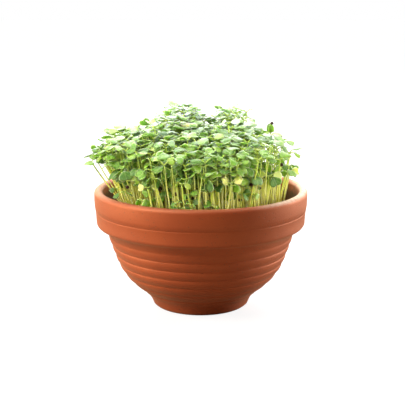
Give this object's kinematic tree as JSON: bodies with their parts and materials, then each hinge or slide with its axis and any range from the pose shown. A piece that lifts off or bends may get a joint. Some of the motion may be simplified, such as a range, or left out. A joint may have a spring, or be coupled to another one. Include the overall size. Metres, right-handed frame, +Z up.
{
  "type": "potted microgreens",
  "caption": "Terracotta bowl with a rolled rim collar and ribbed body, filled with potting mix and a dense stand of tatsoi microgreens.",
  "frame": {"origin": "centre of the bowl's foot, on the surface that it stands on", "axes": "+Z up along the bowl's axis; the pictured side faces -Y, and +X is to its right"},
  "size_m": [0.1561, 0.15, 0.1374],
  "materials": {
    "terracotta": "matte",
    "potting_mix": "matte",
    "seedling": "satin"
  },
  "bodies": {
    "root": {"pot": "terracotta", "potting_mix": "potting_mix", "seedling_01": "seedling", "seedling_02": "seedling", "seedling_03": "seedling", "seedling_04": "seedling", "seedling_05": "seedling", "seedling_06": "seedling", "seedling_07": "seedling", "seedling_08": "seedling", "seedling_09": "seedling", "seedling_10": "seedling", "seedling_11": "seedling", "seedling_12": "seedling", "seedling_13": "seedling", "seedling_14": "seedling", "seedling_15": "seedling", "seedling_16": "seedling", "seedling_17": "seedling", "seedling_18": "seedling", "seedling_19": "seedling", "seedling_20": "seedling", "seedling_21": "seedling", "seedling_22": "seedling", "seedling_23": "seedling", "seedling_24": "seedling", "seedling_25": "seedling", "seedling_26": "seedling", "seedling_27": "seedling", "seedling_28": "seedling", "seedling_29": "seedling", "seedling_30": "seedling", "seedling_31": "seedling", "seedling_32": "seedling", "seedling_33": "seedling", "seedling_34": "seedling", "seedling_35": "seedling", "seedling_36": "seedling", "seedling_37": "seedling", "seedling_38": "seedling", "seedling_39": "seedling", "seedling_40": "seedling", "seedling_41": "seedling", "seedling_42": "seedling", "seedling_43": "seedling", "seedling_44": "seedling", "seedling_45": "seedling", "seedling_46": "seedling", "seedling_47": "seedling", "seedling_48": "seedling", "seedling_49": "seedling", "seedling_50": "seedling", "seedling_51": "seedling", "seedling_52": "seedling", "seedling_53": "seedling", "seedling_54": "seedling", "seedling_55": "seedling", "seedling_56": "seedling"}
  },
  "joints": []
}
